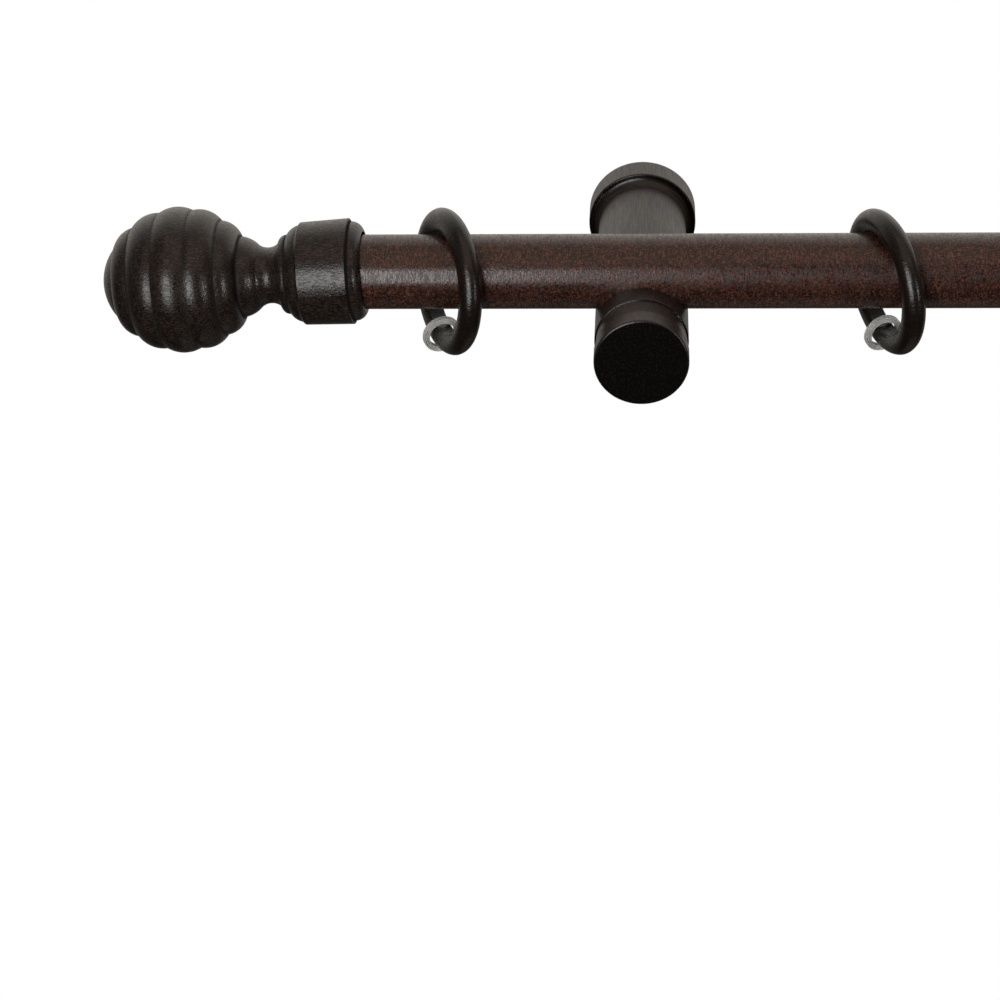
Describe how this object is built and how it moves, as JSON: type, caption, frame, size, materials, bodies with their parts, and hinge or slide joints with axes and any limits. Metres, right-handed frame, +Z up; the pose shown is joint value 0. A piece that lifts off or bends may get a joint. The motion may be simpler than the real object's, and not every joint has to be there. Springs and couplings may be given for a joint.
{
  "type": "wooden curtain rod",
  "caption": "Round dark-stained wooden pole in turned barrel brackets with saddles, ribbed ball finials on its ends, and turned rings with clear line loops that slide to carry a curtain.",
  "frame": {"origin": "in the wall plane, midway between the two wall bolts", "axes": "+X along the pole, +Y into the wall, +Z up"},
  "size_m": [1.3556, 0.1295, 0.0634],
  "materials": {
    "pole_wood": "satin lacquer on walnut-stained beech",
    "turned_wood": "satin lacquer on dark-stained turned beech",
    "bracket_wood": "satin lacquer on dark-stained turned beech",
    "ring_wood": "satin lacquer on dark-stained turned beech",
    "insert_metal": "plain turned brass",
    "screw_steel": "zinc plated",
    "clear_line": "clear nylon line"
  },
  "bodies": {
    "rod": {"pole": "pole_wood", "finial_left": "turned_wood", "bracket_left": "bracket_wood", "insert_left": "insert_metal", "lock_screw_left": "screw_steel", "finial_right": "turned_wood", "bracket_right": "bracket_wood", "insert_right": "insert_metal", "lock_screw_right": "screw_steel"},
    "ring_1": {"ring_1": "ring_wood", "loop_1": "clear_line"},
    "ring_2": {"ring_2": "ring_wood", "loop_2": "clear_line"},
    "ring_3": {"ring_3": "ring_wood", "loop_3": "clear_line"},
    "ring_4": {"ring_4": "ring_wood", "loop_4": "clear_line"},
    "ring_5": {"ring_5": "ring_wood", "loop_5": "clear_line"},
    "ring_6": {"ring_6": "ring_wood", "loop_6": "clear_line"},
    "ring_7": {"ring_7": "ring_wood", "loop_7": "clear_line"},
    "ring_8": {"ring_8": "ring_wood", "loop_8": "clear_line"}
  },
  "joints": [
    {"name": "ring_1_slide", "type": "slide", "parent": "rod", "child": "ring_1", "axis": [1, 0, 0], "range_m": [-0.0161, 0.0406]},
    {"name": "ring_2_slide", "type": "slide", "parent": "rod", "child": "ring_2", "axis": [1, 0, 0], "range_m": [-0.06, 0.0634]},
    {"name": "ring_3_slide", "type": "slide", "parent": "rod", "child": "ring_3", "axis": [1, 0, 0], "range_m": [-0.0634, 0.0638]},
    {"name": "ring_4_slide", "type": "slide", "parent": "rod", "child": "ring_4", "axis": [1, 0, 0], "range_m": [-0.0638, 0.0635]},
    {"name": "ring_5_slide", "type": "slide", "parent": "rod", "child": "ring_5", "axis": [1, 0, 0], "range_m": [-0.0635, 0.0633]},
    {"name": "ring_6_slide", "type": "slide", "parent": "rod", "child": "ring_6", "axis": [1, 0, 0], "range_m": [-0.0633, 0.0635]},
    {"name": "ring_7_slide", "type": "slide", "parent": "rod", "child": "ring_7", "axis": [1, 0, 0], "range_m": [-0.0635, 0.0596]},
    {"name": "ring_8_slide", "type": "slide", "parent": "rod", "child": "ring_8", "axis": [1, 0, 0], "range_m": [-0.0422, 0.0177]}
  ]
}
